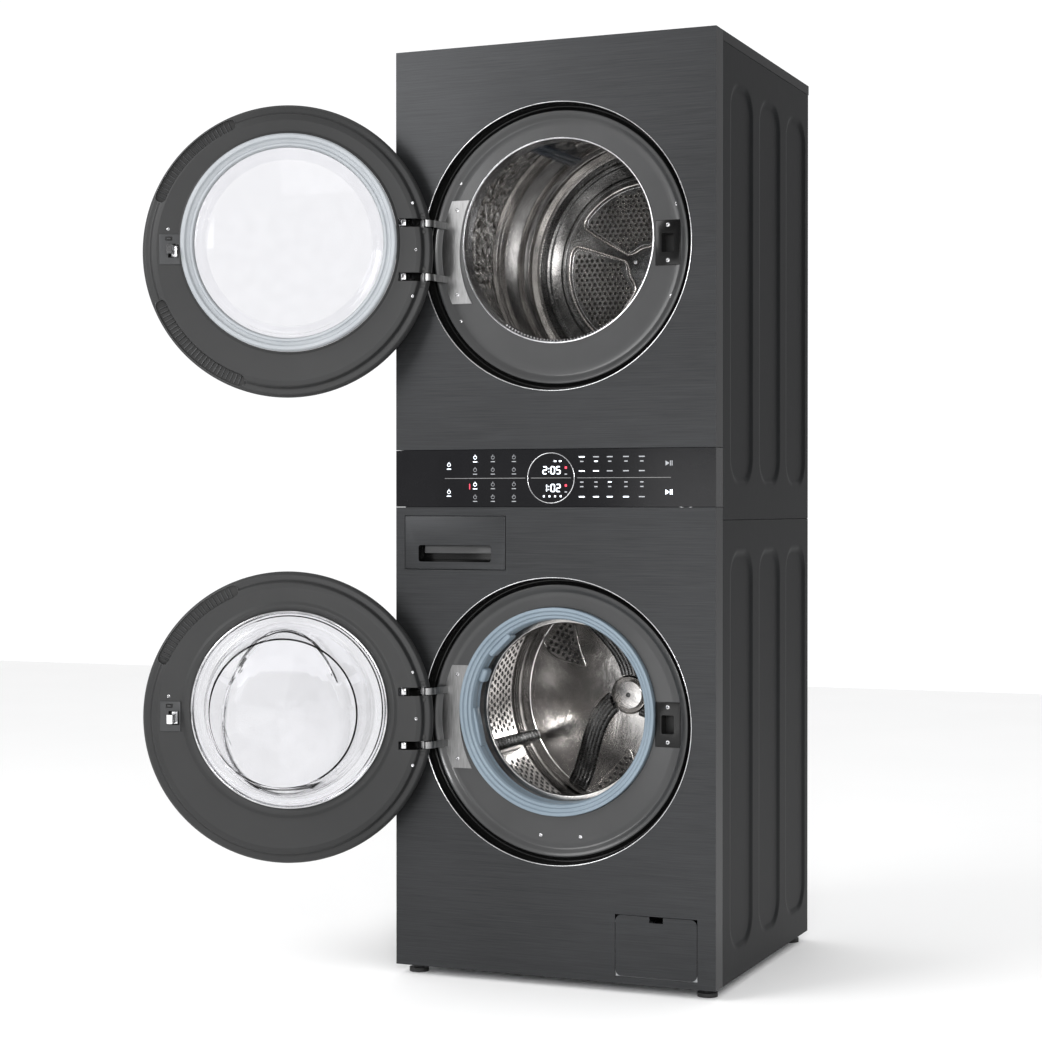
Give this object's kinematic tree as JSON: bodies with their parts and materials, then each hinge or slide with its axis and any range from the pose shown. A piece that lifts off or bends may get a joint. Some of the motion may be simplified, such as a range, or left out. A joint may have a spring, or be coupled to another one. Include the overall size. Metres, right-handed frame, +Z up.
{
  "type": "washer dryer stack",
  "caption": "Tall laundry appliance with a front-loading washer below and a dryer above, both round doors swung open, touch strip between.",
  "frame": {"origin": "on the floor, under the centre of the cabinet between its side panels and its front and back", "axes": "+X to the right seen from the front, +Y to the back, +Z up"},
  "size_m": [1.1542, 0.9842, 1.889],
  "materials": {
    "black_steel": "fine horizontal brush, satin clear coat",
    "side_steel": "satin",
    "control_gloss": "gloss",
    "galvanised": "matt zinc",
    "stainless": "polished stainless",
    "cast_spider": "cast",
    "dark_plastic": "fine moulded grain",
    "gloss_cover": "gloss",
    "clear_glass": "clear, faintly grey",
    "seal_rubber": "matt grey",
    "black_rubber": "matt",
    "tub_plastic": "glass-filled plastic",
    "concrete": "cast ballast",
    "copper_iron": "wound steel core",
    "board": "potted circuit board"
  },
  "bodies": {
    "cabinet": {"front_panel_upper": "black_steel", "front_panel_lower": "black_steel", "side_panels_lower": "side_steel", "side_panels_upper": "side_steel", "top_panel": "side_steel", "control_panel": "control_gloss", "back_panel": "galvanised", "base_frame": "galvanised", "dryer_base": "galvanised", "heater_box": "galvanised", "dryer_front_bulkhead": "galvanised", "exhaust_duct": "galvanised", "detergent_housing": "galvanised", "dryer_rear_bulkhead": "stainless", "door_hinges": "stainless", "ring_screws": "stainless", "latch_receivers": "stainless", "dampers": "cast_spider", "suspension_springs": "cast_spider", "bearings": "cast_spider", "dryer_ring": "dark_plastic", "washer_ring": "dark_plastic", "blower_housing": "dark_plastic", "water_inlet_valves": "dark_plastic", "drain_pump": "dark_plastic", "door_gasket": "seal_rubber", "hoses": "black_rubber", "drive_belt": "black_rubber", "rear_feet": "black_rubber", "tub_front": "tub_plastic", "tub_rear": "tub_plastic", "counterweights": "concrete", "stator": "copper_iron", "dryer_motor": "copper_iron", "control_board": "board"},
    "washer_drum": {"washer_drum": "stainless", "washer_lifters": "dark_plastic", "washer_spider": "cast_spider", "motor_rotor": "stainless"},
    "dryer_drum": {"dryer_drum": "stainless", "dryer_lifters": "dark_plastic"},
    "left_roller": {"left_roller": "black_rubber"},
    "right_roller": {"right_roller": "black_rubber"},
    "blower": {"blower_wheel": "dark_plastic"},
    "dryer_door": {"dryer_door_liner": "dark_plastic", "dryer_door_cover": "gloss_cover", "dryer_door_glass": "clear_glass", "dryer_door_seal": "seal_rubber"},
    "washer_door": {"washer_door_liner": "dark_plastic", "washer_door_cover": "gloss_cover", "washer_door_glass": "clear_glass"},
    "dryer_hook": {"dryer_door_hook": "dark_plastic"},
    "washer_hook": {"washer_door_hook": "dark_plastic"},
    "drawer": {"drawer_box": "dark_plastic", "drawer_front": "black_steel"},
    "pump_cover": {"pump_cover": "black_steel"},
    "filter_cap": {"filter_cap": "dark_plastic"},
    "lint_filter": {"lint_filter": "dark_plastic"},
    "foot_left": {"front_foot_left": "black_rubber"},
    "foot_right": {"front_foot_right": "black_rubber"}
  },
  "joints": [
    {"name": "washer_drum_spin", "type": "hinge", "parent": "cabinet", "child": "washer_drum", "pos_m": [0, 0, 0.548], "axis": [0, 1, 0], "continuous": true},
    {"name": "dryer_drum_spin", "type": "hinge", "parent": "cabinet", "child": "dryer_drum", "pos_m": [0, 0, 1.493], "axis": [0, 1, 0], "continuous": true},
    {"name": "left_roller_spin", "type": "hinge", "parent": "cabinet", "child": "left_roller", "pos_m": [-0.1622, 0.234, 1.21206], "axis": [0, 1, 0], "continuous": true},
    {"name": "right_roller_spin", "type": "hinge", "parent": "cabinet", "child": "right_roller", "pos_m": [0.1622, 0.234, 1.21206], "axis": [0, 1, 0], "continuous": true},
    {"name": "blower_spin", "type": "hinge", "parent": "cabinet", "child": "blower", "pos_m": [-0.165, 0, 1.125], "axis": [0, 1, 0], "continuous": true},
    {"name": "dryer_door_swing", "type": "hinge", "parent": "cabinet", "child": "dryer_door", "pos_m": [-0.271, -0.356, 1.478], "axis": [0, 0, -1], "range_deg": [-160, 0]},
    {"name": "washer_door_swing", "type": "hinge", "parent": "cabinet", "child": "washer_door", "pos_m": [-0.271, -0.356, 0.5305], "axis": [0, 0, -1], "range_deg": [-160, 0]},
    {"name": "dryer_hook_turn", "type": "hinge", "parent": "dryer_door", "child": "dryer_hook", "pos_m": [-0.73999, -0.54692, 1.478], "axis": [0, 0, 1], "range_deg": [0, 8]},
    {"name": "washer_hook_turn", "type": "hinge", "parent": "washer_door", "child": "washer_hook", "pos_m": [-0.73999, -0.54692, 0.5305], "axis": [0, 0, 1], "range_deg": [0, 8]},
    {"name": "drawer_slide", "type": "slide", "parent": "cabinet", "child": "drawer", "axis": [0, -1, 0], "range_m": [0, 0.24]},
    {"name": "pump_cover_tip", "type": "hinge", "parent": "cabinet", "child": "pump_cover", "pos_m": [0.2285, -0.335, 0.035], "axis": [1, 0, 0], "range_deg": [0, 88]},
    {"name": "filter_cap_turn", "type": "hinge", "parent": "cabinet", "child": "filter_cap", "pos_m": [0.205, -0.31, 0.092], "axis": [0, 1, 0], "range_deg": [0, 150]},
    {"name": "lint_filter_lift", "type": "slide", "parent": "cabinet", "child": "lint_filter", "axis": [0, 0, 1], "range_m": [0, 0.2]},
    {"name": "left_foot_turn", "type": "hinge", "parent": "cabinet", "child": "foot_left", "pos_m": [-0.312, -0.29, 0.02], "axis": [0, 0, 1], "range_deg": [0, 180]},
    {"name": "right_foot_turn", "type": "hinge", "parent": "cabinet", "child": "foot_right", "pos_m": [0.312, -0.29, 0.02], "axis": [0, 0, 1], "range_deg": [0, 180]}
  ],
  "couplings": [
    {"joint": "left_roller_spin", "follows": "dryer_drum_spin", "ratio": -7.5263},
    {"joint": "right_roller_spin", "follows": "dryer_drum_spin", "ratio": -7.5263},
    {"joint": "blower_spin", "follows": "dryer_drum_spin", "ratio": 17.875}
  ]
}
